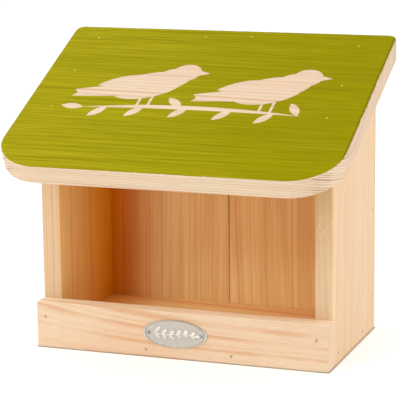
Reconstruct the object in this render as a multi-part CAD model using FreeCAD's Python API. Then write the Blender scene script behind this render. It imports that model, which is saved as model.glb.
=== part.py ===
import FreeCAD, Part
import math
import os

# Open-fronted nest box: seven pine boards nailed together, a painted roof, an oval
# badge on the front and a keyhole hanger let into the back.
# Frame: X to the right seen from the front, +Y to the back, +Z up. Origin at the
# bottom centre of the whole box, roof overhang included. Millimetres and degrees.

# Boards
BOARD = 15.0                 # thickness of every board
BOX_WIDTH = 240.0            # over the outer faces of the two sides
BOX_DEPTH = 135.0            # front face of the front board to the back face
FRONT_HEIGHT = 37.0          # front board
TOP_HEIGHT = 240.0           # highest edge, at the back of the roof
SIDE_ROUNDING = 4.0          # outer front edge of the right side only
PLANK_GAP = 0.4              # seam between the two back planks

# Roof
ROOF_WIDTH = 275.0
ROOF_LENGTH = 202.0          # along the slope, on the top face
ROOF_PITCH = 25.0
ROOF_FRONT_RADIUS = 40.0
ROOF_BACK_RADIUS = 7.0

# Paint coat on the roof
COAT = 0.15
COAT_INSET = 0.7             # bare margin along the eased top edges

# Nails
NAIL_LENGTH = 32.0
NAIL_HEAD_RADIUS = 1.0
NAIL_HEAD_THICKNESS = 0.9
NAIL_SHANK_RADIUS = 0.6
NAIL_POINT = 2.5
NAIL_SET = 0.3               # how far a head lies below the wood
FIT_GAP = 0.05               # play round nails, pins and screws in their holes
BREAKOUT = 3.0               # how far a hole tool reaches out past the surface

# Badge
BADGE_WIDTH = 53.0
BADGE_HEIGHT = 22.6
BADGE_X = -3.0
BADGE_Z = 20.0
BADGE_THICKNESS = 0.8
BADGE_RIM_WIDTH = 1.5
BADGE_RIM_RAISE = 0.5
PIN_SPACING = 43.2
PIN_HEAD_RADIUS = 1.3
PIN_SHANK_RADIUS = 0.7
PIN_LENGTH = 10.0

# Hanger
HANGER_WIDTH = 60.0
HANGER_HEIGHT = 24.0
HANGER_THICKNESS = 1.5
HANGER_CORNER = 5.0
HANGER_Z = 180.0             # centre of the entry hole
HANGER_DROP = 3.0            # entry hole below the plate's middle
KEY_RADIUS = 4.5             # entry hole for the wall screw's head
KEY_SLOT = 4.4               # width of the slot above it
KEY_RISE = 8.0               # from the entry hole's centre to the slot's end centre
POCKET_WIDTH = 12.0
POCKET_DEPTH = 7.0
SCREW_SPACING = 46.0
SCREW_RADIUS = 1.5
SCREW_HEAD_RADIUS = 2.8
SCREW_LENGTH = 12.0
DRIVE_SPAN = 1.6             # cross recess in the screw heads, centre to tip
DRIVE_SLOT = 0.6
DRIVE_DEPTH = 0.8

# Worked out from the above
SLOPE = math.radians(ROOF_PITCH)
ROOF_REACH = ROOF_LENGTH * math.cos(SLOPE)
BACK_Y = ROOF_REACH / 2
FRONT_Y = BACK_Y - BOX_DEPTH
SIDE_FRONT_Y = FRONT_Y + BOARD
PLANK_FRONT_Y = BACK_Y - BOARD
OUTER_X = BOX_WIDTH / 2
INNER_X = OUTER_X - BOARD
EAVES_Z = TOP_HEIGHT - ROOF_LENGTH * math.sin(SLOPE)
ROOF_FRAME = FreeCAD.Placement(
    FreeCAD.Vector(0, BACK_Y - ROOF_REACH, EAVES_Z),
    FreeCAD.Rotation(FreeCAD.Vector(1, 0, 0), ROOF_PITCH),
)

# Where the nails are driven, by hand and so a little unevenly
PLANK_MIDDLE_Y = BACK_Y - BOARD / 2
FRONT_SIDE_NAILS = ((-112.5, 25.0), (110.5, 24.5))                          # x, z
FRONT_FLOOR_NAILS = ((-27.5, 5.5), (42.5, 6.0))                             # x, z
BACK_FLOOR_NAILS = ((-52.0, 6.5), (52.0, 6.5))                              # x, z
SIDE_BACK_NAIL_Z = (29.0, 100.5)
SIDE_FLOOR_NAILS = ((FRONT_Y + 28.0, 8.5), (FRONT_Y + 99.0, 6.5))           # y, z
ROOF_LEFT_NAILS = ((-114.5, 83.0), (-114.5, 135.0), (-112.5, 185.0))        # x, along the slope
ROOF_RIGHT_NAILS = ((110.5, 83.0), (110.5, 127.5), (109.5, 184.5))
ROOF_BACK_NAILS = ((-20.5, PLANK_MIDDLE_Y - 2.0), (18.0, PLANK_MIDDLE_Y))   # x, y

# Roof decoration, left bare of paint: two plain songbirds in a row, both facing right,
# on one leafy twig. In the roof's plane, x along the eaves and y up the slope.
# A bird is drawn from its feet. Ovals are x, y, half length, half height, tilt.
BIRD_OVALS = (
    (-2.0, 30.0, 29.5, 18.0, 24.0),      # body
    (15.0, 41.0, 16.0, 14.0, 42.0),      # breast and neck
    (24.0, 50.0, 12.2, 12.0, 0.0),       # head
)
BIRD_BEAK = ((33.0, 54.5), (44.5, 50.0), (33.0, 45.5))
BIRD_TAIL = ((-14.0, 33.0), (-61.0, 21.0), (-57.0, 16.0), (-60.5, 11.0), (-12.0, 14.0))
BIRD_WING = ((6.0, 42.0), (-44.0, 28.0), 17.0)      # root, tip, width
BIRD_LEG_X = (-3.0, 6.0)
BIRD_LEG_WIDTH = 2.4
BIRD_LEG_TOP = 16.0
BIRD_X = (-43.0, 57.0)       # feet of each bird
TWIG_REACH = 92.0            # either side of the middle
TWIG_Y = 88.0                # middle of the twig
TWIG_DROP = 5.0              # from the middle of the twig to its ends
TWIG_WIDTH = 5.6
LEAF_LENGTH = 19.0
LEAF_WIDTH = 7.5
LEAVES = (                   # root along the twig, heading
    (87.0, 118.0),
    (68.0, -132.0),
    (34.0, -132.0),
    (-2.0, -132.0),
    (-8.0, 136.0),
    (-38.0, -132.0),
    (-68.0, -132.0),
    (-88.0, 176.0),
)


def point(x, y, z):
    return FreeCAD.Vector(x, y, z)


def turned(axis, angle):
    return FreeCAD.Rotation(axis, angle)


# Rotations that point a fastener's head out of a face, its tip going in
HEAD_UP = FreeCAD.Rotation()
HEAD_FRONT = turned(point(1, 0, 0), 90)
HEAD_BACK = turned(point(1, 0, 0), -90)
HEAD_RIGHT = turned(point(0, 1, 0), 90)
HEAD_LEFT = turned(point(0, 1, 0), -90)


def underside_z(y):
    """Height of the roof's lower face at a given depth."""
    return TOP_HEIGHT - BOARD / math.cos(SLOPE) + (y - BACK_Y) * math.tan(SLOPE)


def block(x0, x1, y0, y1, z0, z1):
    return Part.makeBox(x1 - x0, y1 - y0, z1 - z0, point(x0, y0, z0))


def upright(x0, x1, y0, y1):
    """Board standing on z = 0 with its top cut to the roof's slope."""
    corners = [
        point(x0, y0, 0),
        point(x0, y1, 0),
        point(x0, y1, underside_z(y1)),
        point(x0, y0, underside_z(y0)),
    ]
    face = Part.Face(Part.makePolygon(corners + corners[:1]))
    return face.extrude(point(x1 - x0, 0, 0))


def edges_at(shape, wanted):
    """Edges whose middle lies on one of the wanted points."""
    found = []
    for edge in shape.Edges:
        middle = edge.CenterOfMass
        if any(middle.distanceToPoint(spot) < 0.01 for spot in wanted):
            found.append(edge)
    return found


def turned_profile(outline):
    """Solid of revolution about Z from (radius, z) points."""
    points = [point(radius, 0, z) for radius, z in outline]
    face = Part.Face(Part.makePolygon(points + points[:1]))
    return face.revolve(point(0, 0, 0), point(0, 0, 1), 360)


def placed(shape, spot, rotation):
    copy = shape.copy()
    copy.Placement = FreeCAD.Placement(spot, rotation)
    return copy


def in_roof_frame(shape):
    copy = shape.copy()
    copy.Placement = ROOF_FRAME.multiply(shape.Placement)
    return copy


# Fasteners, each along Z with the top of its head at z = 0

def nail():
    return turned_profile([
        (0, 0),
        (NAIL_HEAD_RADIUS, 0),
        (NAIL_HEAD_RADIUS, -NAIL_HEAD_THICKNESS),
        (NAIL_SHANK_RADIUS, -NAIL_HEAD_THICKNESS),
        (NAIL_SHANK_RADIUS, NAIL_POINT - NAIL_LENGTH),
        (0, -NAIL_LENGTH),
    ])


def nail_hole():
    shank = NAIL_SHANK_RADIUS + FIT_GAP
    head = NAIL_HEAD_RADIUS + FIT_GAP
    return turned_profile([
        (0, BREAKOUT),
        (head, BREAKOUT),
        (head, -NAIL_HEAD_THICKNESS),
        (shank, -NAIL_HEAD_THICKNESS),
        (shank, -NAIL_LENGTH - FIT_GAP),
        (0, -NAIL_LENGTH - FIT_GAP),
    ])


def pin():
    shank = turned_profile([
        (0, 0),
        (PIN_SHANK_RADIUS, 0),
        (PIN_SHANK_RADIUS, NAIL_POINT - PIN_LENGTH),
        (0, -PIN_LENGTH),
    ])
    dome = Part.makeSphere(PIN_HEAD_RADIUS, point(0, 0, 0), point(0, 0, 1), 0, 90, 360)
    return shank.fuse(dome).removeSplitter()


def pin_hole():
    radius = PIN_SHANK_RADIUS + FIT_GAP
    depth = PIN_LENGTH + FIT_GAP
    return Part.makeCylinder(radius, depth, point(0, 0, -depth))


def screw():
    body = turned_profile([
        (0, 0),
        (SCREW_HEAD_RADIUS, 0),
        (SCREW_RADIUS, SCREW_RADIUS - SCREW_HEAD_RADIUS),
        (SCREW_RADIUS, NAIL_POINT - SCREW_LENGTH),
        (0, -SCREW_LENGTH),
    ])
    bar = block(-DRIVE_SPAN, DRIVE_SPAN, -DRIVE_SLOT / 2, DRIVE_SLOT / 2, -DRIVE_DEPTH, FIT_GAP)
    crossing = placed(bar, point(0, 0, 0), turned(point(0, 0, 1), 90))
    return body.cut([bar, crossing])


def screw_hole():
    shank = SCREW_RADIUS + FIT_GAP
    head = SCREW_HEAD_RADIUS + FIT_GAP
    return turned_profile([
        (0, BREAKOUT),
        (head, BREAKOUT),
        (head, 0),
        (shank, shank - head),
        (shank, -SCREW_LENGTH - FIT_GAP),
        (0, -SCREW_LENGTH - FIT_GAP),
    ])


def nail_places():
    """Every nail as node name -> list of placements of its head."""
    front = FRONT_Y + NAIL_SET
    back = BACK_Y - NAIL_SET
    side = OUTER_X - NAIL_SET
    groups = {
        "front_side_nails": [
            FreeCAD.Placement(point(x, front, z), HEAD_FRONT) for x, z in FRONT_SIDE_NAILS
        ],
        "front_floor_nails": [
            FreeCAD.Placement(point(x, front, z), HEAD_FRONT) for x, z in FRONT_FLOOR_NAILS
        ],
        "back_floor_nails": [
            FreeCAD.Placement(point(x, back, z), HEAD_BACK) for x, z in BACK_FLOOR_NAILS
        ],
        "side_back_nails": [],
        "side_floor_nails": [],
        "roof_side_nails": [],
        "roof_back_nails": [],
    }
    for sign, rotation in ((-1, HEAD_LEFT), (1, HEAD_RIGHT)):
        for z in SIDE_BACK_NAIL_Z:
            spot = point(sign * side, PLANK_MIDDLE_Y, z)
            groups["side_back_nails"].append(FreeCAD.Placement(spot, rotation))
        for y, z in SIDE_FLOOR_NAILS:
            spot = point(sign * side, y, z)
            groups["side_floor_nails"].append(FreeCAD.Placement(spot, rotation))
    for x, along in ROOF_LEFT_NAILS + ROOF_RIGHT_NAILS:
        local = FreeCAD.Placement(point(x, along, -NAIL_SET), HEAD_UP)
        groups["roof_side_nails"].append(ROOF_FRAME.multiply(local))
    # These go straight down, so the low side of the sloping surface sets the depth
    sunk = NAIL_SET + NAIL_HEAD_RADIUS * math.tan(SLOPE)
    for x, y in ROOF_BACK_NAILS:
        surface = TOP_HEIGHT + (y - BACK_Y) * math.tan(SLOPE)
        spot = point(x, y, surface - sunk)
        groups["roof_back_nails"].append(FreeCAD.Placement(spot, HEAD_UP))
    return groups


def copies(shape, placements):
    solids = []
    for placement in placements:
        solid = shape.copy()
        solid.Placement = placement
        solids.append(solid)
    return solids


# Boards

def roof_board():
    lower_length = ROOF_LENGTH - BOARD * math.tan(SLOPE)
    corners = [
        point(-ROOF_WIDTH / 2, 0, 0),
        point(-ROOF_WIDTH / 2, ROOF_LENGTH, 0),
        point(-ROOF_WIDTH / 2, lower_length, -BOARD),
        point(-ROOF_WIDTH / 2, 0, -BOARD),
    ]
    face = Part.Face(Part.makePolygon(corners + corners[:1]))
    board = face.extrude(point(ROOF_WIDTH, 0, 0))
    front = []
    back = []
    for x in (-ROOF_WIDTH / 2, ROOF_WIDTH / 2):
        front.append(point(x, 0, -BOARD / 2))
        back.append(point(x, (ROOF_LENGTH + lower_length) / 2, -BOARD / 2))
    board = board.makeFillet(ROOF_FRONT_RADIUS, edges_at(board, front))
    board = board.makeFillet(ROOF_BACK_RADIUS, edges_at(board, back))
    return in_roof_frame(board)


def side_board(sign):
    inner, outer = sorted((sign * INNER_X, sign * OUTER_X))
    return upright(inner, outer, SIDE_FRONT_Y, BACK_Y)


def rounded_side_board():
    board = side_board(1)
    corner = point(OUTER_X, SIDE_FRONT_Y, underside_z(SIDE_FRONT_Y) / 2)
    return board.makeFillet(SIDE_ROUNDING, edges_at(board, [corner]))


def back_plank(sign):
    inner, outer = sorted((sign * PLANK_GAP / 2, sign * INNER_X))
    return upright(inner, outer, PLANK_FRONT_Y, BACK_Y)


def floor_board():
    return block(-INNER_X, INNER_X, SIDE_FRONT_Y, PLANK_FRONT_Y, 0, BOARD)


def front_board():
    return block(-OUTER_X, OUTER_X, FRONT_Y, SIDE_FRONT_Y, 0, FRONT_HEIGHT)


# Painted coat

def flat_face(corners):
    return Part.Face(Part.makePolygon([point(x, y, 0) for x, y in corners + corners[:1]]))


def oval_face(x, y, half_length, half_height, tilt):
    face = Part.Face(Part.Wire([Part.Ellipse(point(0, 0, 0), half_length, half_height).toShape()]))
    face.rotate(point(0, 0, 0), point(0, 0, 1), tilt)
    face.translate(point(x, y, 0))
    return face


def pointed_face(root, tip, width):
    """Pointed oval between two arcs, as a leaf or a folded wing."""
    start = point(*root, 0)
    end = point(*tip, 0)
    along = end - start
    across = point(-along.y, along.x, 0).normalize() * (width / 2)
    middle = start + along * 0.5
    upper = Part.Arc(start, middle + across, end).toShape()
    lower = Part.Arc(end, middle - across, start).toShape()
    return Part.Face(Part.Wire([upper, lower]))


def bird_faces():
    faces = [oval_face(*oval_values) for oval_values in BIRD_OVALS]
    faces += [flat_face(BIRD_BEAK), flat_face(BIRD_TAIL), pointed_face(*BIRD_WING)]
    for x in BIRD_LEG_X:
        right = x + BIRD_LEG_WIDTH
        faces.append(flat_face(((x, 0), (right, 0), (right, BIRD_LEG_TOP), (x, BIRD_LEG_TOP))))
    return faces


def twig_height(x):
    return TWIG_Y - TWIG_DROP * (x / TWIG_REACH) ** 2


def twig_face():
    """Twig with a slight arch, thickest in the middle and pointed at both ends."""
    left = point(-TWIG_REACH, TWIG_Y - TWIG_DROP, 0)
    right = point(TWIG_REACH, TWIG_Y - TWIG_DROP, 0)
    upper = Part.Arc(left, point(0, TWIG_Y + TWIG_WIDTH / 2, 0), right).toShape()
    lower = Part.Arc(right, point(0, TWIG_Y - TWIG_WIDTH / 2, 0), left).toShape()
    return Part.Face(Part.Wire([upper, lower]))


def leaf_faces():
    faces = []
    for x, heading in LEAVES:
        turn = math.radians(heading)
        root = (x, twig_height(x))
        tip = (x + LEAF_LENGTH * math.cos(turn), root[1] + LEAF_LENGTH * math.sin(turn))
        faces.append(pointed_face(root, tip, LEAF_WIDTH))
    return faces


def decoration_tool():
    """Both birds and the twig as one prism through the coat."""
    faces = [twig_face()] + leaf_faces()
    for x in BIRD_X:
        for face in bird_faces():
            face.translate(point(x, twig_height(x), 0))
            faces.append(face)
    depth = 4 * COAT
    prisms = []
    for face in faces:
        face.translate(point(0, 0, -depth / 2))
        prisms.append(face.extrude(point(0, 0, depth)))
    return prisms[0].fuse(prisms[1:]).removeSplitter()


def coat_outline():
    """Rounded outline of the coat on the roof's top face."""
    x = ROOF_WIDTH / 2 - COAT_INSET
    front = COAT_INSET
    back = ROOF_LENGTH - COAT_INSET
    plate = block(-x, x, front, back, 0, COAT)
    corners = []
    for radius, y in ((ROOF_FRONT_RADIUS, front), (ROOF_BACK_RADIUS, back)):
        spots = [point(-x, y, COAT / 2), point(x, y, COAT / 2)]
        corners.append((radius - COAT_INSET, spots))
    for radius, spots in corners:
        plate = plate.makeFillet(radius, edges_at(plate, spots))
    return plate


def roof_paint(nail_tools):
    coat = coat_outline().cut(decoration_tool())
    return in_roof_frame(coat).cut(nail_tools)


# Badge

def oval(width, height, z0, z1):
    edge = Part.Ellipse(point(0, 0, z0), width / 2, height / 2).toShape()
    return Part.Face(Part.Wire([edge])).extrude(point(0, 0, z1 - z0))


def pin_places(z):
    places = []
    for sign in (-1, 1):
        spot = point(BADGE_X + sign * PIN_SPACING / 2, FRONT_Y - z, BADGE_Z)
        places.append(FreeCAD.Placement(spot, HEAD_FRONT))
    return places


def badge_plate():
    top = BADGE_THICKNESS + BADGE_RIM_RAISE
    plate = oval(BADGE_WIDTH, BADGE_HEIGHT, 0, BADGE_THICKNESS)
    rim = oval(BADGE_WIDTH, BADGE_HEIGHT, BADGE_THICKNESS, top)
    inside = oval(BADGE_WIDTH - 2 * BADGE_RIM_WIDTH, BADGE_HEIGHT - 2 * BADGE_RIM_WIDTH, 0, top)
    plate = plate.fuse(rim.cut(inside)).removeSplitter()
    plate = placed(plate, point(BADGE_X, FRONT_Y, BADGE_Z), HEAD_FRONT)
    return plate.cut(copies(pin_hole(), pin_places(BADGE_THICKNESS)))


# Hanger

def rounded_plate(width, height, thickness, radius):
    plate = block(-width / 2, width / 2, -height / 2, height / 2, 0, thickness)
    corners = []
    for x in (-width / 2, width / 2):
        for y in (-height / 2, height / 2):
            corners.append(point(x, y, thickness / 2))
    return plate.makeFillet(radius, edges_at(plate, corners))


def on_back(shape, depth, z):
    """Shape drawn with its face up, turned to face the back, its base sunk by depth."""
    return placed(shape, point(0, BACK_Y - depth, z), HEAD_BACK)


def screw_places():
    places = []
    for sign in (-1, 1):
        spot = point(sign * SCREW_SPACING / 2, BACK_Y, HANGER_Z + HANGER_DROP)
        places.append(FreeCAD.Placement(spot, HEAD_BACK))
    return places


def keyhole(radius, slot, rise, depth):
    """Round hole with a slot above it. Drawn y becomes down once it faces the back."""
    hole = Part.makeCylinder(radius, depth)
    end = Part.makeCylinder(slot / 2, depth, point(0, -rise, 0))
    bar = block(-slot / 2, slot / 2, -rise, 0, 0, depth)
    return hole.fuse([bar, end]).removeSplitter()


def hanger_plate():
    plate = rounded_plate(HANGER_WIDTH, HANGER_HEIGHT, HANGER_THICKNESS, HANGER_CORNER)
    plate = on_back(plate, HANGER_THICKNESS, HANGER_Z + HANGER_DROP)
    hole = keyhole(KEY_RADIUS, KEY_SLOT, KEY_RISE, HANGER_THICKNESS)
    plate = plate.cut(on_back(hole, HANGER_THICKNESS, HANGER_Z))
    return plate.cut(copies(screw_hole(), screw_places()))


def hanger_recess():
    """What is milled out of the back planks for the plate and the screw head behind it."""
    seat = rounded_plate(HANGER_WIDTH, HANGER_HEIGHT, HANGER_THICKNESS, HANGER_CORNER)
    seat = on_back(seat, HANGER_THICKNESS, HANGER_Z + HANGER_DROP)
    pocket = keyhole(POCKET_WIDTH / 2, POCKET_WIDTH, KEY_RISE, POCKET_DEPTH)
    pocket = on_back(pocket, HANGER_THICKNESS + POCKET_DEPTH, HANGER_Z)
    return [seat, pocket] + copies(screw_hole(), screw_places())


def build():
    groups = nail_places()
    holes = []
    nodes = {}
    for name, placements in groups.items():
        nodes[name] = Part.makeCompound(copies(nail(), placements))
        holes += copies(nail_hole(), placements)
    roof_holes = copies(nail_hole(), groups["roof_side_nails"] + groups["roof_back_nails"])
    recess = hanger_recess()
    nodes["roof_board"] = roof_board().cut(holes)
    nodes["roof_paint"] = roof_paint(roof_holes)
    nodes["left_side"] = side_board(-1).cut(holes)
    nodes["right_side"] = rounded_side_board().cut(holes)
    nodes["back_plank_left"] = back_plank(-1).cut(holes + recess)
    nodes["back_plank_right"] = back_plank(1).cut(holes + recess)
    nodes["floor_board"] = floor_board().cut(holes)
    nodes["front_board"] = front_board().cut(holes + copies(pin_hole(), pin_places(BADGE_THICKNESS)))
    nodes["badge_plate"] = badge_plate()
    nodes["badge_pins"] = Part.makeCompound(copies(pin(), pin_places(BADGE_THICKNESS)))
    nodes["hanger_plate"] = hanger_plate()
    nodes["hanger_screws"] = Part.makeCompound(copies(screw(), screw_places()))
    return nodes


os.makedirs("parts", exist_ok=True)
for node, shape in build().items():
    box = shape.BoundBox
    print(f"{node}: {len(shape.Solids)} solid(s), valid {shape.isValid()}, {shape.Volume / 1000:.2f} cm3, "
          f"x {box.XMin:.2f} {box.XMax:.2f} y {box.YMin:.2f} {box.YMax:.2f} z {box.ZMin:.2f} {box.ZMax:.2f}")
    shape.exportStep(f"parts/{node}.step")
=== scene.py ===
import math

import bmesh
import bpy
from mathutils import Matrix, Vector, noise

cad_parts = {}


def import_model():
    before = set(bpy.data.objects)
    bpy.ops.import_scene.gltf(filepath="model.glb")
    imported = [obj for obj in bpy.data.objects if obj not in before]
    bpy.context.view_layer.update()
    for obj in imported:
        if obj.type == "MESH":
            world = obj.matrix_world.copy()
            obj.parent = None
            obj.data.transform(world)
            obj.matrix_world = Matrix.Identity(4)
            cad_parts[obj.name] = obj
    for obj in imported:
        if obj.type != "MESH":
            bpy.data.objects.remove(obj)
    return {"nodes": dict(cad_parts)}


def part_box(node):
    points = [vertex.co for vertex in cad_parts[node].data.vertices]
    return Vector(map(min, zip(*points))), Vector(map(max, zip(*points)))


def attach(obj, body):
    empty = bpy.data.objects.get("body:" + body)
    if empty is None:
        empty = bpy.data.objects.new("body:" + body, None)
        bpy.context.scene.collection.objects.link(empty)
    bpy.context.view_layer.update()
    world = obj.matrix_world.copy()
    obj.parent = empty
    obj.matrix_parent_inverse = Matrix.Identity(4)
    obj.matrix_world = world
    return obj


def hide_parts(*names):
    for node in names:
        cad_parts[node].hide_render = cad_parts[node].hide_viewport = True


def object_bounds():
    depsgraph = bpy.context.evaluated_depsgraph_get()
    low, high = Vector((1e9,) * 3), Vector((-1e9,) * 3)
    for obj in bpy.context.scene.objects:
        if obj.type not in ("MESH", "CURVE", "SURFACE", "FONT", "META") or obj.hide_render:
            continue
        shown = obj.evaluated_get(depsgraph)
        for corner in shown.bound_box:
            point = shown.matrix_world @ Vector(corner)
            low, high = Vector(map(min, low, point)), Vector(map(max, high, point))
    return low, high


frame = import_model()
cad_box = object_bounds()
nodes = frame["nodes"]

# Metres. Sizes that the frame doesn't hold as a box are repeated from the design.
MM = 0.001
BOARD = 15 * MM
PITCH = math.radians(25)
ROOF_FRONT_RADIUS = 40 * MM
ROOF_BACK_RADIUS = 7 * MM
EASED = 0.7 * MM             # rounding on the long edges of the boards
FRONT_EASED = 0.9 * MM       # the front board's own
SIDE_ROUNDING = 4 * MM       # outer front edge of the right side
DIMPLE_RADIUS = 1.5 * MM     # wood pressed down round a nail head
DIMPLE_DEPTH = 0.32 * MM
PLAY = 0.05 * MM             # between a fastener and its hole
NAIL_HEAD_RADIUS = 1.0 * MM
NAIL_HEAD_DEPTH = 0.9 * MM
NAIL_RADIUS = 0.6 * MM
SCREW_HEAD_RADIUS = 2.8 * MM
SCREW_CONE = 1.3 * MM        # depth of the countersunk head
SCREW_RADIUS = 1.5 * MM
OUTSIDE = 2 * MM             # how far a cutter stands out of the wood

ROOF_LOW, ROOF_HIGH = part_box("roof_board")
ROOF_LENGTH = (ROOF_HIGH.y - ROOF_LOW.y) / math.cos(PITCH)
ROOF_MATRIX = Matrix.Translation(
    (0, ROOF_LOW.y, ROOF_HIGH.z - ROOF_LENGTH * math.sin(PITCH))
) @ Matrix.Rotation(PITCH, 4, "X")


# ---------------------------------------------------------------- meshes

def make_object(name, mesh):
    piece = bpy.data.objects.new(name, mesh)
    bpy.context.scene.collection.objects.link(piece)
    return piece


def mesh_from(bm, name):
    bmesh.ops.recalc_face_normals(bm, faces=bm.faces)
    mesh = bpy.data.meshes.new(name)
    bm.to_mesh(mesh)
    bm.free()
    return make_object(name, mesh)


def extruded(outline, lift):
    """Closed prism: lift(point, level) places each outline point at level 0 and 1."""
    bm = bmesh.new()
    rings = [[bm.verts.new(lift(point, level)) for point in outline] for level in (0, 1)]
    bm.faces.new(rings[0][::-1])
    bm.faces.new(rings[1])
    count = len(outline)
    for index in range(count):
        after = (index + 1) % count
        bm.faces.new((rings[0][index], rings[0][after], rings[1][after], rings[1][index]))
    return bm


def arc(centre, radius, start, end, steps):
    points = []
    for step in range(steps + 1):
        angle = math.radians(start + (end - start) * step / steps)
        points.append((centre[0] + radius * math.cos(angle), centre[1] + radius * math.sin(angle)))
    return points


def rounded_outline(half_width, low, high, low_radius, high_radius, steps=24):
    """Outline in a plane, low edge first, with its own radius at the low and high corners."""
    outline = []
    outline += arc((half_width - low_radius, low + low_radius), low_radius, -90, 0, steps)
    outline += arc((half_width - high_radius, high - high_radius), high_radius, 0, 90, steps)
    outline += arc((high_radius - half_width, high - high_radius), high_radius, 90, 180, steps)
    outline += arc((low_radius - half_width, low + low_radius), low_radius, 180, 270, steps)
    return outline


def apply_modifiers(piece):
    graph = bpy.context.evaluated_depsgraph_get()
    mesh = bpy.data.meshes.new_from_object(piece.evaluated_get(graph))
    piece.modifiers.clear()
    old = piece.data
    piece.data = mesh
    bpy.data.meshes.remove(old)


def ease_edges(piece, width):
    bevel = piece.modifiers.new("ease", "BEVEL")
    bevel.width = width
    bevel.segments = 3
    bevel.limit_method = "ANGLE"
    bevel.angle_limit = math.radians(35)
    apply_modifiers(piece)


def cut(piece, cutters):
    """Takes the cutters out of the piece and removes them."""
    for cutter in cutters:
        boolean = piece.modifiers.new("cut", "BOOLEAN")
        boolean.operation = "DIFFERENCE"
        boolean.solver = "EXACT"
        boolean.object = cutter
    bpy.context.view_layer.update()
    apply_modifiers(piece)
    for cutter in cutters:
        mesh = cutter.data
        bpy.data.objects.remove(cutter)
        bpy.data.meshes.remove(mesh)


def smooth(piece, angle=30):
    piece.data.shade_smooth()
    piece.data.set_sharp_from_angle(angle=math.radians(angle))
    weighted = piece.modifiers.new("normals", "WEIGHTED_NORMAL")
    weighted.keep_sharp = True
    weighted.weight = 80


def turned(outline, steps=20):
    """Closed solid of revolution about Z from (radius, z), both ends on the axis."""
    bm = bmesh.new()
    rings = []
    for radius, z in outline:
        if radius == 0:
            rings.append([bm.verts.new((0, 0, z))] * steps)
            continue
        ring = []
        for step in range(steps):
            angle = math.tau * step / steps
            ring.append(bm.verts.new((radius * math.cos(angle), radius * math.sin(angle), z)))
        rings.append(ring)
    for lower, upper in zip(rings, rings[1:]):
        for step in range(steps):
            after = (step + 1) % steps
            corners = []
            for vert in (lower[step], lower[after], upper[after], upper[step]):
                if vert not in corners:
                    corners.append(vert)
            bm.faces.new(corners)
    return bm


# ---------------------------------------------------------------- fasteners of the frame

END_BAND = 0.5 * MM


def fastener_axes(node):
    """(head centre, direction going in, length) of each separate solid in a node."""
    bm = bmesh.new()
    bm.from_mesh(nodes[node].data)
    bmesh.ops.remove_doubles(bm, verts=bm.verts, dist=1e-7)
    found = []
    seen = set()
    for first in bm.verts:       # in the mesh's own order, so that each run gives the same result
        if first in seen:
            continue
        seen.add(first)
        island = []
        queue = [first]
        while queue:
            vert = queue.pop()
            island.append(vert.co.copy())
            for edge in vert.link_edges:
                other = edge.other_vert(vert)
                if other not in seen:
                    seen.add(other)
                    queue.append(other)
        # Both ends along the rough axis. The head is the wider one.
        middle = sum(island, Vector()) / len(island)
        far = max(island, key=lambda point: (point - middle).length)
        rough = (far - middle).normalized()
        reach = [(point - middle).dot(rough) for point in island]
        ends = []
        for limit in (min(reach), max(reach)):
            near = [point for point, along in zip(island, reach) if abs(along - limit) < END_BAND]
            centre = Vector((min(values) + max(values)) / 2 for values in zip(*near))
            ends.append((max((point - centre).length for point in near), centre))
        ends.sort(key=lambda end: end[0])
        tip, head = ends[0][1], ends[1][1]
        inward = (tip - head).normalized()
        depths = [(point - head).dot(inward) for point in island]
        found.append((head + inward * min(depths), inward, max(depths) - min(depths)))
    bm.free()
    return found


def head_frame(head, inward):
    """Turns +Z to point out of a fastener's head and puts the origin on the head."""
    return Matrix.Translation(head) @ (-inward).to_track_quat("Z", "Y").to_matrix().to_4x4()


def nail_cutter(head, inward, length, proud):
    """Nail hole with the pressed-down wood round the head. The surface is `proud` above it."""
    shank = NAIL_RADIUS + PLAY
    rim = NAIL_HEAD_RADIUS + PLAY
    bm = turned([
        (0, proud + OUTSIDE),
        (DIMPLE_RADIUS + OUTSIDE, proud + OUTSIDE),
        (DIMPLE_RADIUS, proud),
        (rim, proud - DIMPLE_DEPTH),
        (rim, -NAIL_HEAD_DEPTH),
        (shank, -NAIL_HEAD_DEPTH),
        (shank, -length - PLAY),
        (0, -length - PLAY),
    ])
    cutter = mesh_from(bm, "nail_cutter")
    cutter.data.transform(head_frame(head, inward))
    return cutter


NAIL_SET = 0.3 * MM
STRAIGHT_DOWN_SET = NAIL_SET + NAIL_HEAD_RADIUS * math.tan(PITCH)
NAIL_NODES = (
    "front_side_nails", "front_floor_nails", "back_floor_nails", "side_back_nails",
    "side_floor_nails", "roof_side_nails", "roof_back_nails",
)


def nail_cutters(*names):
    cutters = []
    for name in names:
        proud = STRAIGHT_DOWN_SET if name == "roof_back_nails" else NAIL_SET
        for head, inward, length in fastener_axes(name):
            cutters.append(nail_cutter(head, inward, length, proud))
    return cutters


# ---------------------------------------------------------------- materials

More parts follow.
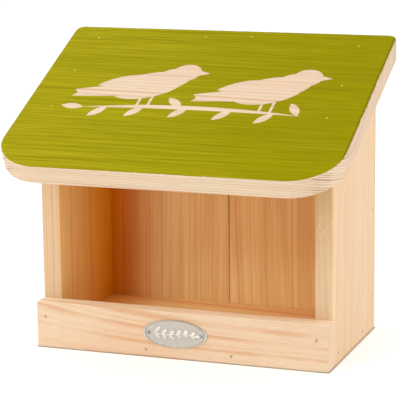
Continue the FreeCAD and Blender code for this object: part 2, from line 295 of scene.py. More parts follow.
class Shade:
    """A material's node tree with short ways to add and join nodes."""

    def __init__(self, name):
        self.material = bpy.data.materials.new(name)
        self.material.use_nodes = True
        self.tree = self.material.node_tree
        self.tree.nodes.clear()
        output = self.tree.nodes.new("ShaderNodeOutputMaterial")
        self.shader = self.tree.nodes.new("ShaderNodeBsdfPrincipled")
        self.tree.links.new(self.shader.outputs[0], output.inputs[0])

    def feed(self, socket, value):
        if isinstance(value, bpy.types.NodeSocket):
            self.tree.links.new(value, socket)
        else:
            socket.default_value = value

    def node(self, kind, settings=None, inputs=None):
        made = self.tree.nodes.new(kind)
        for key, value in (settings or {}).items():
            setattr(made, key, value)
        for key, value in (inputs or {}).items():
            self.feed(made.inputs[key], value)
        return made

    def math(self, operation, *values, clamp=False):
        made = self.node("ShaderNodeMath", {"operation": operation, "use_clamp": clamp})
        for socket, value in zip(made.inputs, values):
            self.feed(socket, value)
        return made.outputs[0]

    def vector(self, operation, *values):
        made = self.node("ShaderNodeVectorMath", {"operation": operation})
        for socket, value in zip(made.inputs, values):
            self.feed(socket, value)
        return made.outputs["Value" if operation in ("LENGTH", "DOT_PRODUCT") else "Vector"]

    def step(self, value, start, end, low=0.0, high=1.0):
        """Smooth step of value from low at start to high at end."""
        made = self.node("ShaderNodeMapRange", {"interpolation_type": "SMOOTHSTEP"})
        for socket, given in zip(made.inputs, (value, start, end, low, high)):
            self.feed(socket, given)
        return made.outputs[0]

    def mix(self, factor, first, second, blend="MIX"):
        made = self.node("ShaderNodeMix", {"data_type": "RGBA", "blend_type": blend})
        self.feed(made.inputs[0], factor)
        self.feed(made.inputs[6], first)
        self.feed(made.inputs[7], second)
        return made.outputs[2]

    def noise(self, place, stretch, detail=2.0, roughness=0.5):
        """Noise of place, which is in metres, at `stretch` cycles a metre along each axis."""
        made = self.node(
            "ShaderNodeTexNoise",
            {"noise_dimensions": "3D"},
            {"Vector": self.vector("MULTIPLY", place, stretch), "Scale": 1.0, "Detail": detail,
             "Roughness": roughness},
        )
        return made

    def set(self, **values):
        for key, value in values.items():
            self.feed(self.shader.inputs[key.replace("_", " ")], value)


def colour(red, green, blue):
    """Linear colour from the usual 0 to 255 values."""
    made = []
    for value in (red, green, blue):
        share = value / 255
        made.append(share / 12.92 if share <= 0.04045 else ((share + 0.055) / 1.055) ** 2.4)
    return (*made, 1.0)


def place_in_board(shade, grain, pith, tilt):
    """Position with its third axis along the grain and the pith on that axis."""
    where = shade.node("ShaderNodeTexCoord").outputs["Object"]
    x, y, z = shade.node("ShaderNodeSeparateXYZ", inputs={0: where}).outputs
    across, through, along = {"X": (y, z, x), "Z": (x, y, z)}[grain]
    made = []
    for value, centre, lean in ((across, pith[0], tilt[0]), (through, pith[1], tilt[1])):
        moved = shade.math("SUBTRACT", value, centre)
        made.append(shade.math("ADD", moved, shade.math("MULTIPLY", along, math.tan(math.radians(lean)))))
    joined = shade.node("ShaderNodeCombineXYZ", inputs={0: made[0], 1: made[1], 2: along})
    return joined.outputs[0]


SOFT = (0.08, 0.58, 0.64, 1.0)       # where in a ring the late wood rises and falls
MILD = (0.30, 0.80, 0.84, 1.0)
SLOW_BEND = 16 * MM                  # how far the rings stray from a circle, slowly and quickly
QUICK_BEND = 1.1 * MM


def grain_fields(shade, grain, pith, tilt, ring, band, wander, faintest=0.12, patchy=0.0):
    """Growth rings and fibres of one board, as sockets from 0 to 1, and the place they are in."""
    place = place_in_board(shade, grain, pith, tilt)
    slow = shade.noise(place, (7, 7, 2.2), 1.0).outputs["Color"]
    quick = shade.noise(place, (70, 70, 9), 2.0).outputs["Color"]
    moved = place
    for field, reach in ((slow, SLOW_BEND * wander), (quick, QUICK_BEND * wander)):
        centred = shade.vector("SUBTRACT", field, (0.5, 0.5, 0.5))
        moved = shade.vector("ADD", moved, shade.vector("MULTIPLY", centred, (reach, reach, 0)))
    radius = shade.vector("LENGTH", shade.vector("MULTIPLY", moved, (1, 1, 0)))
    uneven = shade.node(
        "ShaderNodeTexNoise",
        {"noise_dimensions": "1D"},
        {"W": shade.math("MULTIPLY", radius, 60.0), "Scale": 1.0},
    ).outputs[0]
    count = shade.math("ADD", shade.math("DIVIDE", radius, ring), shade.math("MULTIPLY", uneven, 3.0))
    share = shade.math("FRACT", count)
    own = shade.node(
        "ShaderNodeTexWhiteNoise", {"noise_dimensions": "1D"}, {"W": shade.math("FLOOR", count)}
    ).outputs["Value"]
    rise = shade.step(share, band[0], band[1])
    fall = shade.step(share, band[2], band[3], 1.0, 0.0)
    shown = shade.step(own, 0.15, 1.0, faintest, 1.0)
    late = shade.math("MULTIPLY", shade.math("MULTIPLY", rise, fall), shown)
    if patchy:
        patch = shade.noise(place, (55, 55, 16), 1.0).outputs[0]
        late = shade.math("MULTIPLY", late, shade.step(patch, 0.36, 0.62, 1.0 - patchy, 1.0))
    fibre = shade.noise(place, (900, 900, 14), 3.0, 0.6).outputs[0]
    blotch = shade.noise(place, (14, 14, 3.5), 2.0).outputs[0]
    broad = shade.noise(place, (130, 130, 4), 2.0).outputs[0]
    flecks = shade.step(shade.noise(place, (1300, 1300, 60), 1.0).outputs[0], 0.66, 0.78)
    normal = shade.node("ShaderNodeNewGeometry").outputs["Normal"]
    axis = {"X": (1, 0, 0), "Z": (0, 0, 1)}[grain]
    facing = shade.math("ABSOLUTE", shade.vector("DOT_PRODUCT", normal, axis))
    end = shade.step(facing, 0.35, 0.95)
    return {"late": late, "fibre": fibre, "blotch": blotch, "broad": broad, "flecks": flecks,
            "end": end, "place": place}


PALE_PINK = colour(236, 196, 160)
LATE = colour(214, 146, 88)
END_LATE = colour(136, 80, 48)
END_WOOD = colour(205, 158, 108)
FLECK = colour(168, 104, 58)


def pine_colour(shade, field, pale, strength, pink=PALE_PINK, late=LATE, end_strength=0.85,
                streaks=0.0, fleck=0.35, end_late=END_LATE, end_dark=0.16, square_on_painted_light=None):
    """Bare pine. End grain shows its rings more and drinks in more light."""
    base = shade.mix(shade.step(field["blotch"], 0.3, 0.7), pale, pink)
    if streaks:
        base = shade.mix(shade.step(field["broad"], 0.42, 0.68, 0.0, streaks), base, late)
    share = shade.step(field["end"], 0, 1, strength, end_strength)
    if square_on_painted_light is not None:    # painted light: rings show strongest where a rounded end cuts them at a slant, and fainter where the end faces square on and light washes it out
        share = shade.math(
            "MULTIPLY",
            shade.step(field["end"], 0.02, 0.4, strength, end_strength),
            shade.step(field["end"], 0.75, 1.0, 1.0, square_on_painted_light),
        )
    shown = shade.math("MULTIPLY", field["late"], share)
    base = shade.mix(shown, base, shade.mix(field["end"], late, end_late))
    streak = shade.step(field["fibre"], 0.25, 0.75, 0.93, 1.03)
    grey = shade.node("ShaderNodeCombineColor", inputs={0: streak, 1: streak, 2: streak}).outputs[0]
    base = shade.mix(1.0, base, grey, "MULTIPLY")
    base = shade.mix(shade.math("MULTIPLY", field["flecks"], fleck), base, FLECK)
    return shade.mix(shade.math("MULTIPLY", field["end"], end_dark), base, END_WOOD)


def pine_bump(shade, field, depth=0.10 * MM):
    height = shade.math(
        "ADD",
        shade.math("MULTIPLY", field["late"], 0.55),
        shade.math("MULTIPLY", field["fibre"], 0.45),
    )
    bump = shade.node("ShaderNodeBump", inputs={"Strength": 0.6, "Distance": depth, "Height": height})
    return bump.outputs[0]


OPENING_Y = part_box("left_side")[0].y
PLANK_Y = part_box("back_plank_left")[0].y
DEPTHWAYS = (1, OPENING_Y, PLANK_Y)


def paint_light_on_face(shade, base, facing, near, deep, span=DEPTHWAYS):
    """Paints light and shade as a tint on the side of a board that faces one way, from near to deep along
    span: axis, start, end.
    """
    normal = shade.node("ShaderNodeNewGeometry").outputs["Normal"]
    chosen = shade.step(shade.vector("DOT_PRODUCT", normal, facing), 0.5, 0.9)
    where = shade.node("ShaderNodeTexCoord").outputs["Object"]
    axis, start, end = span
    along = shade.node("ShaderNodeSeparateXYZ", inputs={0: where}).outputs[axis]
    tint = shade.mix(shade.step(along, start, end), near, deep)
    return shade.mix(chosen, base, shade.mix(1.0, base, tint, "MULTIPLY"))


def calm_face(shade, base, facing, plain, share):
    """Draws the side of a board that faces one way towards one plain colour."""
    normal = shade.node("ShaderNodeNewGeometry").outputs["Normal"]
    chosen = shade.step(shade.vector("DOT_PRODUCT", normal, facing), 0.5, 0.9, 0.0, share)
    return shade.mix(chosen, base, plain)


def resin(shade, base, centre, reach):
    """A few pale dried specks of resin round a point."""
    where = shade.node("ShaderNodeTexCoord").outputs["Object"]
    away = shade.vector("LENGTH", shade.vector("SUBTRACT", where, centre))
    specks = shade.step(shade.noise(where, (560, 560, 360), 2.0).outputs[0], 0.585, 0.66)
    shown = shade.math("MULTIPLY", specks, shade.step(away, reach * 0.3, reach, 0.7, 0.0))
    return shade.mix(shown, base, colour(250, 240, 214))


def pine(name, rings, faces, calm=None, specks=None, gloss=0.25, **tone):
    """Bare pine with a board's own rings, and tints of painted light and shade for the faces that look one
    way.
    """
    shade = Shade(name)
    field = grain_fields(shade, **rings)
    base = pine_colour(shade, field, **tone)
    for face in faces:
        base = paint_light_on_face(shade, base, **face)
    if calm:
        base = calm_face(shade, base, **calm)
    if specks:
        base = resin(shade, base, **specks)
    shade.set(
        Base_Color=base,
        Roughness=shade.step(field["fibre"], 0.2, 0.8, 0.52, 0.68),
        Normal=pine_bump(shade, field),
    )
    shade.shader.inputs["Specular IOR Level"].default_value = gloss
    return shade.material


PAINT = colour(161, 152, 0)
# The lighter green is thin paint over the grain, and also painted light on the left of the roof
PAINT_LIT_AND_THIN = colour(186, 174, 30)
PAINT_THICK = colour(137, 130, 0)
PAINT_EDGE = colour(116, 110, 0)


def roof_paint_material():
    """Thin olive green paint, with the roof board's grain showing through it, and painted light that makes
    it lighter towards the left end.
    """
    shade = Shade("roof_paint")
    field = grain_fields(shade, **ROOF_RINGS)
    brushed = shade.noise(field["place"], (700, 700, 8), 4.0, 0.8).outputs[0]
    where = shade.node("ShaderNodeTexCoord").outputs["Object"]
    x = shade.node("ShaderNodeSeparateXYZ", inputs={0: where}).outputs[0]
    # Painted light: the coat is lighter towards the left end, where more light falls
    body = shade.mix(shade.step(x, ROOF_LOW.x, ROOF_HIGH.x, 0.8, 0.0), PAINT, PAINT_LIT_AND_THIN)
    body = shade.mix(shade.step(brushed, 0.36, 0.60, 0.85, 0.0), body, PAINT_THICK)
    body = shade.mix(shade.math("MULTIPLY", field["late"], 0.28), body, PAINT_THICK)
    edge = shade.step(x, ROOF_HIGH.x - 3.2 * MM, ROOF_HIGH.x - 1.4 * MM, 0.0, 0.85)
    body = shade.mix(edge, body, PAINT_EDGE)
    thin = shade.math("MULTIPLY", shade.step(field["fibre"], 0.52, 0.72), 0.6)
    body = shade.mix(thin, body, PAINT_LIT_AND_THIN)
    cloud = shade.step(field["blotch"], 0.3, 0.75, 0.0, 0.18)
    body = shade.mix(cloud, body, PAINT_THICK)
    height = shade.math(
        "ADD",
        shade.math("MULTIPLY", field["late"], 0.6),
        shade.math("MULTIPLY", brushed, 0.6),
    )
    bump = shade.node("ShaderNodeBump", inputs={"Strength": 0.55, "Distance": 0.12 * MM, "Height": height})
    shade.set(Base_Color=body, Roughness=shade.step(brushed, 0.3, 0.7, 0.62, 0.76), Normal=bump.outputs[0])
    shade.shader.inputs["Specular IOR Level"].default_value = 0.02
    return shade.material


def metal(name, light, dark, low, high, scale, relief=0.02 * MM):
    """Metal with uneven colour and gloss, at `scale` cycles a metre."""
    shade = Shade(name)
    where = shade.node("ShaderNodeTexCoord").outputs["Object"]
    cloud = shade.noise(where, (scale, scale, scale), 4.0, 0.6).outputs[0]
    fine = shade.noise(where, (scale * 7, scale * 7, scale * 7), 2.0).outputs[0]
    bump = shade.node("ShaderNodeBump", inputs={"Strength": 0.5, "Distance": relief, "Height": fine})
    shade.set(
        Base_Color=shade.mix(shade.step(cloud, 0.3, 0.7), dark, light),
        Roughness=shade.step(fine, 0.3, 0.7, low, high),
        Normal=bump.outputs[0],
    )
    shade.shader.inputs["Metallic"].default_value = 1.0
    return shade.material


def nail_paint_material():
    """Paint over the roof nails, paler than the coat round them."""
    shade = Shade("roof_nail_paint")
    where = shade.node("ShaderNodeTexCoord").outputs["Object"]
    cloud = shade.noise(where, (1500, 1500, 1500), 2.0).outputs[0]
    body = shade.mix(shade.step(cloud, 0.4, 0.6), colour(200, 188, 40), colour(236, 224, 104))
    shade.set(Base_Color=body)
    shade.shader.inputs["Roughness"].default_value = 0.6
    return shade.material


def badge_material():
    """Stamped metal, dull in its hollows and rubbed bright on what stands up."""
    shade = Shade("badge_metal")
    raised = shade.node("ShaderNodeAttribute", {"attribute_name": "raised"}).outputs["Fac"]
    crease = shade.node("ShaderNodeAttribute", {"attribute_name": "crease"}).outputs["Fac"]
    where = shade.node("ShaderNodeTexCoord").outputs["Object"]
    cloud = shade.noise(where, (260, 260, 260), 3.0).outputs[0]
    tone = shade.math("ADD", raised, shade.step(cloud, 0.3, 0.7, -0.18, 0.18))
    body = shade.mix(shade.step(tone, 0.05, 0.75), colour(192, 187, 176), colour(216, 212, 202))
    body = shade.mix(shade.step(crease, 0.1, 0.8, 0.0, 0.55), body, colour(112, 104, 92))
    shade.set(Base_Color=body, Roughness=shade.step(tone, 0.1, 0.8, 0.5, 0.32))
    shade.shader.inputs["Metallic"].default_value = 0.85
    return shade.material


def use(piece, material):
    piece.data.materials.clear()
    piece.data.materials.append(material)


def even(facing, tint):
    """One tint of painted light and shade all over the faces that look one way."""
    return {"facing": facing, "near": tint, "deep": tint}


# Painted light and shade: tints that make faces of the boards lighter or darker, standing in for the light
# and shade that real boards throw on each other
# Painted light at the foot of the plank's front, painted shade higher up
PLANK_FACE_LIGHT_AND_SHADE = {"facing": (0, -1, 0), "near": (1.10, 1.10, 0.88, 1.0), "deep": (0.93, 0.78, 0.54, 1.0),
              "span": (2, 15 * MM, 75 * MM)}
# Painted shade, darker towards the left back corner
CORNER_SHADE = {"facing": (0, -1, 0), "near": (0.94, 0.82, 0.60, 1.0), "deep": (0.72, 0.27, 0.0, 1.0),
               "span": (0, -46 * MM, -106 * MM)}
# Painted light at the foot of the plank's front
PLANK_FOOT_LIGHT = {"facing": (0, -1, 0), "near": (1.13, 1.28, 1.42, 1.0), "deep": (1.0, 1.0, 1.0, 1.0),
              "span": (2, 15 * MM, 70 * MM)}
# The planks' outer back face is drawn towards one plain wood colour
PLANK_BACK = {"facing": (0, 1, 0), "plain": colour(236, 201, 166), "share": 0.62}
# Painted shade in the gap between the planks, darker higher up
SEAM_SHADE = {"near": (1.15, 0.90, 0.56, 1.0), "deep": (0.55, 0.30, 0.12, 1.0), "span": (2, 20 * MM, 120 * MM)}
SEAM_SHADE_RIGHT = {"facing": (1, 0, 0), **SEAM_SHADE}
SEAM_SHADE_LEFT = {"facing": (-1, 0, 0), **SEAM_SHADE}
# Painted light on the front board's top, which lies in the roof's shade, and on its end
FRONT_TOP_LIGHT = even((0, 0, 1), (1.43, 1.64, 1.78, 1.0))
FRONT_END_LIGHT = even((1, 0, 0), (1.11, 1.10, 1.15, 1.0))
# Painted light on the floor board's top, and painted shade towards its left back corner
FLOOR_FACE_LIGHT = {"facing": (0, 0, 1), "near": (1.40, 1.62, 1.76, 1.0), "deep": (1.40, 1.48, 1.22, 1.0)}
FLOOR_CORNER_SHADE = {"facing": (0, 0, 1), "near": (1.0, 1.0, 1.0, 1.0), "deep": (0.76, 0.56, 0.24, 1.0),
                "span": (0, -50 * MM, -104 * MM)}
# Painted shade on the roof's front edge, which faces down
EAVES_SHADE = even((0, -math.cos(PITCH), -math.sin(PITCH)), (0.80, 0.79, 0.77, 1.0))
# Painted light near the opening and painted shade deeper in on the left side's inner face; painted shade
# on its front edge
LEFT_INNER_LIGHT_AND_SHADE = {"facing": (1, 0, 0), "near": (1.30, 1.20, 0.80, 1.0), "deep": (1.08, 0.66, 0.04, 1.0)}
LEFT_EDGE_SHADE = even((0, -1, 0), (0.90, 0.92, 0.91, 1.0))
# Painted shade, deeper in on the right side's inner face
RIGHT_INNER_SHADE = {"facing": (-1, 0, 0), "near": (1.0, 0.93, 0.74, 1.0), "deep": (1.0, 0.72, 0.26, 1.0)}
# Painted shadow of the roof on the right side's front edge, darker higher up
RIGHT_EDGE_ROOF_SHADOW = {"facing": (0, -1, 0), "near": (0.80, 0.79, 0.76, 1.0), "deep": (0.70, 0.65, 0.50, 1.0),
              "span": (2, 60 * MM, 150 * MM)}
# Painted highlight on the rounding. A short vector, so that it picks out the rounding and neither of the
# flat faces beside it
RIGHT_RIDGE_HIGHLIGHT = even((0.5, -0.5, 0), (1.24, 1.30, 1.38, 1.0))
RESIN = {"centre": (112 * MM, OPENING_Y, 109 * MM), "reach": 9 * MM}

# Each board's own place in its tree: grain direction, pith, lean of the pith, ring width
ROOF_PITH = ROOF_MATRIX @ Vector((0, 70 * MM, 76 * MM))      # above the board, near its front
ROOF_RINGS = {
    "grain": "X", "pith": (ROOF_PITH.y, ROOF_PITH.z), "tilt": (0.4, 0.5), "ring": 2.0 * MM,
    "band": (0.25, 0.65, 0.80, 1.0), "wander": 0.7, "faintest": 0.35,
}
PLANK_TONE = {
    "streaks": 0.24, "fleck": 0.1, "gloss": 0.05, "strength": 0.32,
    "pale": colour(253, 224, 184), "pink": colour(251, 216, 168), "late": colour(210, 138, 62),
}
BOARD_LOOKS = {
    "roof_board": {
        "rings": ROOF_RINGS,
        "faces": [EAVES_SHADE],
        # The roof's end grain, with painted light that makes its rings fainter where the end faces square
        # on
        "strength": 0.5, "end_strength": 1.0, "end_dark": 0.12, "square_on_painted_light": 0.55,
        "pale": colour(240, 219, 190), "pink": colour(240, 212, 183), "end_late": colour(140, 70, 42),
    },
    "front_board": {
        "rings": {"grain": "X", "pith": (0.0, 72 * MM), "tilt": (6.5, 0.0), "ring": 4.6 * MM,
                  "band": SOFT, "wander": 2.2, "patchy": 0.75},
        "faces": [FRONT_TOP_LIGHT, FRONT_END_LIGHT],
        "strength": 0.72, "end_strength": 0.06, "end_dark": 0.0, "fleck": 0.15,
        "pale": colour(228, 202, 170), "pink": colour(224, 190, 156), "late": colour(211, 153, 108),
    },
    "floor_board": {
        "rings": {"grain": "X", "pith": (10 * MM, -45 * MM), "tilt": (3.0, 0.5), "ring": 3.4 * MM,
                  "band": SOFT, "wander": 1.6},
        "faces": [FLOOR_FACE_LIGHT, FLOOR_CORNER_SHADE],
        "strength": 0.6, "streaks": 0.2, "fleck": 0.15,
        "pale": colour(254, 228, 186), "late": colour(190, 120, 68),
    },
    "left_side": {
        "rings": {"grain": "Z", "pith": (-58 * MM, 14 * MM), "tilt": (0.3, 0.4), "ring": 2.8 * MM,
                  "band": MILD, "wander": 0.6, "faintest": 0.3},
        "faces": [LEFT_INNER_LIGHT_AND_SHADE, LEFT_EDGE_SHADE],
        "strength": 0.5, "fleck": 0.15, "gloss": 0.1,
        "pale": colour(222, 189, 150),
    },
    "right_side": {
        "rings": {"grain": "Z", "pith": (66 * MM, 34 * MM), "tilt": (0.3, -0.4), "ring": 2.7 * MM,
                  "band": MILD, "wander": 0.8, "patchy": 0.4},
        "faces": [RIGHT_INNER_SHADE, RIGHT_EDGE_ROOF_SHADOW, RIGHT_RIDGE_HIGHLIGHT],
        "specks": RESIN,
        "strength": 0.34, "streaks": 0.12, "fleck": 0.2,
        "pale": colour(240, 209, 171), "pink": colour(238, 203, 163),
    },
    "back_plank_left": {
        "rings": {"grain": "Z", "pith": (-240 * MM, 40 * MM), "tilt": (-1.8, 0.0), "ring": 3.0 * MM,
                  "band": SOFT, "wander": 1.4},
        "faces": [PLANK_FOOT_LIGHT, CORNER_SHADE, SEAM_SHADE_RIGHT],
        "calm": PLANK_BACK,
        **PLANK_TONE,
    },
    "back_plank_right": {
        "rings": {"grain": "Z", "pith": (190 * MM, 40 * MM), "tilt": (2.2, 0.0), "ring": 3.2 * MM,
                  "band": SOFT, "wander": 2.0},
        "faces": [PLANK_FACE_LIGHT_AND_SHADE, SEAM_SHADE_LEFT],
        "calm": PLANK_BACK,
        **PLANK_TONE,
    },
}


# ---------------------------------------------------------------- boards

def underside(y):
    """Height of the roof's lower face."""
    return ROOF_HIGH.z - BOARD / math.cos(PITCH) + (y - ROOF_HIGH.y) * math.tan(PITCH)


def finish_board(piece, node, cutters, eased=EASED):
    ease_edges(piece, eased)
    if cutters:
        cut(piece, cutters)
    smooth(piece)
    use(piece, pine(f"pine_{node}", **BOARD_LOOKS[node]))
    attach(piece, "root")
    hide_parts(node)
    return piece


def plan_outline(low, high, rounding=0.0):
    """Rectangle seen from above, with its right front corner rounded if asked."""
    outline = [(low.x, high.y), (low.x, low.y)]
    if rounding:
        outline += arc((high.x - rounding, low.y + rounding), rounding, -90, 0, 10)
    else:
        outline.append((high.x, low.y))
    outline.append((high.x, high.y))
    return outline


def upright_board(node, cutters, rounding=0.0):
    """Board standing on the ground with its top cut to the roof's slope."""
    low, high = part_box(node)
    bm = extruded(
        plan_outline(low, high, rounding),
        lambda point, level: (*point, underside(point[1]) if level else low.z),
    )
    return finish_board(mesh_from(bm, node + "_wood"), node, cutters)


def flat_board(node, cutters, eased=EASED):
    low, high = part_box(node)
    bm = extruded(plan_outline(low, high), lambda point, level: (*point, high.z if level else low.z))
    return finish_board(mesh_from(bm, node + "_wood"), node, cutters, eased)


def roof_board():
    outline = rounded_outline(ROOF_HIGH.x, 0, ROOF_LENGTH, ROOF_FRONT_RADIUS, ROOF_BACK_RADIUS)
    drawn_in = BOARD * math.tan(PITCH)      # makes the rear face plumb

    def lift(point, level):
        x, along = point
        if level == 0 and along > ROOF_LENGTH / 2:
            along -= drawn_in
        return ROOF_MATRIX @ Vector((x, along, 0 if level else -BOARD))

    piece = mesh_from(extruded(outline, lift), "roof_board_wood")
    return finish_board(piece, "roof_board", nail_cutters("roof_side_nails", "roof_back_nails"))


def ragged_prism():
    """What the paint is trimmed to: the roof's outline, wandering in a little from the edge."""
    least, most = 0.4 * MM, 1.1 * MM
    plain = rounded_outline(ROOF_HIGH.x - least, least, ROOF_LENGTH - least, ROOF_FRONT_RADIUS - least,
                            ROOF_BACK_RADIUS - least)
    outline = []
    spacing = 1.2 * MM
    for index, start in enumerate(plain):
        start = Vector((*start, 0))
        end = Vector((*plain[(index + 1) % len(plain)], 0))
        steps = max(1, round((end - start).length / spacing))
        for step in range(steps):
            point = start.lerp(end, step / steps)
            wander = noise.noise(point * 90) * 0.6 + noise.noise(point * 420) * 0.5
            inward = (Vector((0, ROOF_LENGTH / 2, 0)) - point)
            inward.x = math.copysign(min(abs(inward.x), 1), inward.x)
            outline.append(point + inward.normalized() * min(1.0, max(0.0, wander * 3)) * (most - least))

    def lift(point, level):
        return ROOF_MATRIX @ Vector((point.x, point.y, MM if level else -MM))

    return extruded(outline, lift)


def paint_coat():
    mesh = nodes["roof_paint"].data.copy()
    bm = bmesh.new()
    bm.from_mesh(mesh)
    bmesh.ops.remove_doubles(bm, verts=bm.verts, dist=0.002 * MM)
    bm.to_mesh(mesh)
    bm.free()
    piece = make_object("roof_paint_coat", mesh)
    trim = mesh_from(ragged_prism(), "ragged_trim")
    boolean = piece.modifiers.new("trim", "BOOLEAN")
    boolean.operation = "INTERSECT"
    boolean.solver = "EXACT"
    boolean.object = trim
    bpy.context.view_layer.update()
    apply_modifiers(piece)
    bpy.data.objects.remove(trim)
    piece.data.shade_flat()
    use(piece, roof_paint_material())
    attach(piece, "root")
    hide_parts("roof_paint")
    return piece


def nail_paint():
    """Paint that has run into the holes over the roof nails and stands up a little."""
    joined = bmesh.new()
    for name, sunk in (("roof_side_nails", NAIL_SET), ("roof_back_nails", STRAIGHT_DOWN_SET)):
        for head, inward, _ in fastener_axes(name):
            drop = turned([
                (0, 0.22 * MM),
                (0.45 * MM, 0.19 * MM),
                (0.80 * MM, 0.08 * MM),
                (NAIL_HEAD_RADIUS, -0.06 * MM),
                (NAIL_HEAD_RADIUS, -0.16 * MM),
                (0, -0.16 * MM),
            ])
            drop.transform(Matrix.Translation(head - inward * sunk) @ Matrix.Rotation(PITCH, 4, "X"))
            mesh = bpy.data.meshes.new("drop")
            drop.to_mesh(mesh)
            drop.free()
            joined.from_mesh(mesh)
            bpy.data.meshes.remove(mesh)
    piece = mesh_from(joined, "roof_nail_paint")
    smooth(piece, 50)
    use(piece, nail_paint_material())
    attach(piece, "root")
    return piece


# ---------------------------------------------------------------- badge

def leaf(u, v, root, angle, length, width):
    """(height, crease) from 0 to 1 of a pointed leaf with a vein, at (u, v)."""
    turn = math.radians(angle)
    du, dv = u - root[0], v - root[1]
    along = (du * math.cos(turn) + dv * math.sin(turn)) / length
    if not 0 < along < 1:
        return 0.0, 0.0
    across = abs(-du * math.sin(turn) + dv * math.cos(turn))
    half = width / 2 * math.sin(math.pi * along ** 0.8)
    if across >= half:
        return 0.0, max(0.0, 1 - (across - half) / 0.5)
    dome = math.sqrt(1 - (across / half) ** 2)
    vein = max(0.0, 1 - across / (0.16 * width))
    return dome - 0.45 * vein, 0.7 * vein


def sprig(u, v, half_length):
    """(height, crease) from 0 to 1 of a leafy twig across the badge."""
    stem = 0.9 * math.sin(u * 0.22)
    shapes = []
    if abs(u) < half_length:
        shapes.append((max(0.0, 1 - (abs(v - stem) / 0.5) ** 2), 0.0))
    pairs = 6
    for index in range(pairs):
        root_u = half_length * (-0.95 + 1.7 * index / (pairs - 1))
        root = (root_u, 0.9 * math.sin(root_u * 0.22))
        for side in (-1, 1):
            shapes.append(leaf(u, v, root, side * (46 - 3 * index), 7.4 - 0.5 * index, 3.4))
    shapes.append(leaf(u, v, (half_length - 0.8, stem), 8, 5.0, 2.8))
    height = max(shape[0] for shape in shapes)
    return height, (max(shape[1] for shape in shapes) if height < 0.6 else 0.0)


def badge():
    """Oval stamped plate with a rolled rim, a leafy twig and a row of small beads."""
    low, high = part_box("badge_plate")
    half_u, half_v = (high.x - low.x) / 2 / MM, (high.z - low.z) / 2 / MM
    plate, raise_ = 0.8, 0.5
    rings, steps, beads = 84, 360, 44
    bm = bmesh.new()
    raised = bm.verts.layers.float.new("raised")
    dark = bm.verts.layers.float.new("crease")

    def relief(u, v, share):
        rim = math.exp(-((share - 0.965) / 0.022) ** 2)
        groove = math.exp(-((share - 0.915) / 0.016) ** 2)
        bead = 0.0
        if 0.80 < share < 0.90:
            turn = math.atan2(v / half_v, u / half_u) / math.tau * beads
            off = abs(turn - round(turn)) * 2
            bead = 0.7 * max(0.0, 1 - off ** 2 * 2.2 - ((share - 0.855) / 0.03) ** 2)
        inner, crease = sprig(u, v, half_u * 0.66) if share < 0.80 else (0.0, 0.0)
        hammered = noise.noise(Vector((u, v, 0)) * 1.7)
        up = max(rim, bead, inner) + 0.10 * hammered
        return up, max(crease, groove, 0.0 if up > 0.3 else 0.9 * hammered)

    grid = []
    for ring in range(rings + 1):
        share = max(ring / rings, 0.004)
        row = []
        for step in range(steps):
            angle = math.tau * step / steps
            u, v = half_u * share * math.cos(angle), half_v * share * math.sin(angle)
            up, crease = relief(u, v, share)
            depth = plate + raise_ * up
            if ring == rings:
                depth = plate * 0.55
            vert = bm.verts.new((u, v, depth))
            vert[raised] = up
            vert[dark] = crease
            row.append(vert)
        grid.append(row)
    back = []
    for step in range(steps):
        angle = math.tau * step / steps
        back.append(bm.verts.new((half_u * math.cos(angle), half_v * math.sin(angle), 0)))
    grid.append(back)
    for inner, outer in zip(grid, grid[1:]):
        for step in range(steps):
            after = (step + 1) % steps
            bm.faces.new((inner[step], outer[step], outer[after], inner[after]))
    bm.faces.new(grid[0])
    bm.faces.new(back[::-1])
    piece = mesh_from(bm, "badge_stamped")
    centre = Vector(((low.x + high.x) / 2, high.y, (low.z + high.z) / 2))
    facing_front = Matrix.Rotation(math.radians(90), 4, "X")
    piece.data.transform(Matrix.Translation(centre) @ facing_front @ Matrix.Scale(MM, 4))
    piece.data.shade_smooth()
    piece.data.set_sharp_from_angle(angle=math.radians(50))
    use(piece, badge_material())
    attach(piece, "root")
    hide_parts("badge_plate")
    return piece


# ---------------------------------------------------------------- hanger

KEY_RADIUS = 4.5 * MM
KEY_SLOT = 4.4 * MM
KEY_RISE = 8 * MM
KEY_DROP = 3 * MM            # the entry hole is this far under the plate's middle
POCKET_HALF = 6 * MM
POCKET_DEPTH = 7 * MM
HANGER_CORNER = 5 * MM


def back_prism(outline, near, far, name):
    """Prism standing on the back: outline in X and Z, from y = near to y = far."""
    bm = extruded(outline, lambda point, level: (point[0], far if level else near, point[1]))
    return mesh_from(bm, name)


def keyhole_outline(radius, slot_half, centre_z):
    """Round hole with a round-ended slot above it."""
    meet = math.degrees(math.asin(slot_half / radius))
    hole = arc((0, centre_z), radius, 90 + meet, 450 - meet, 32)
    return hole + arc((0, centre_z + KEY_RISE), slot_half, 0, 180, 12)


def hanger_shape(grown, near, far, name):
    low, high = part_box("hanger_plate")
    outline = rounded_outline(
        high.x + grown, low.z - grown, high.z + grown, HANGER_CORNER + grown, HANGER_CORNER + grown, 10
    )
    return back_prism(outline, near, far, name)


def key_centre():
    low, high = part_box("hanger_plate")
    return (low.z + high.z) / 2 - KEY_DROP


def screw_cutters():
    cutters = []
    rim = SCREW_HEAD_RADIUS + 0.2 * MM      # shows as a dark line round the head
    shank = SCREW_RADIUS + PLAY
    for head, inward, length in fastener_axes("hanger_screws"):
        bm = turned([
            (0, OUTSIDE),
            (rim, OUTSIDE),
            (rim, 0),
            (shank, -SCREW_CONE),
            (shank, -length - PLAY),
            (0, -length - PLAY),
        ], 32)
        cutter = mesh_from(bm, "screw_cutter")
        cutter.data.transform(head_frame(head, inward))
        cutters.append(cutter)
    return cutters


